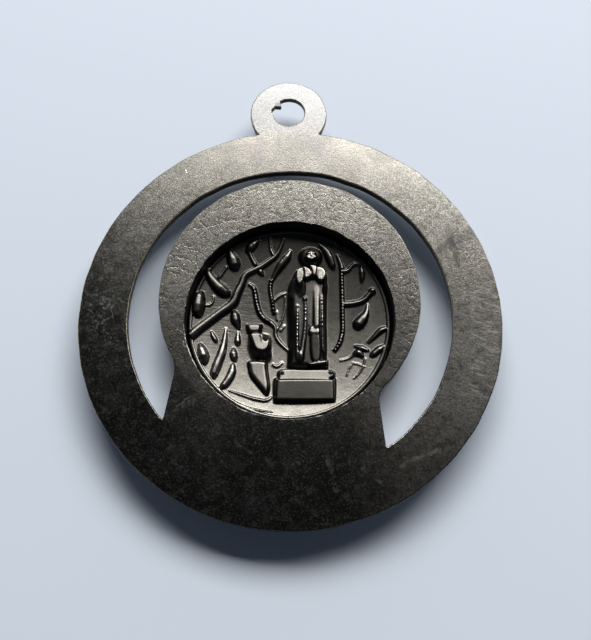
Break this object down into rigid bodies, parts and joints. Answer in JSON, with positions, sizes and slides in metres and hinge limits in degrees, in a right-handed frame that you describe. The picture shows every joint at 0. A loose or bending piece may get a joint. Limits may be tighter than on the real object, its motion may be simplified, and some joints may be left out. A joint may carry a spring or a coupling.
{
  "type": "religious medal pendant",
  "caption": "Flat round medal pendant with a pierced eye at the top, a crescent window round its inner disc, and a recessed medal with a devotional scene in relief.",
  "frame": {"origin": "on the resting face of the boss, under the centre of the ring", "axes": "+Y towards the eye, +Z out of the face with the relief"},
  "size_m": [0.028, 0.0323, 0.0024],
  "materials": {
    "plate_metal": "satin nickel silver with a fine grain, scratches and dark tarnish",
    "relief_metal": "polished struck silver, darkened in the low places"
  },
  "bodies": {
    "root": {"frame_plate": "plate_metal", "centre_medal": "relief_metal"}
  },
  "joints": []
}
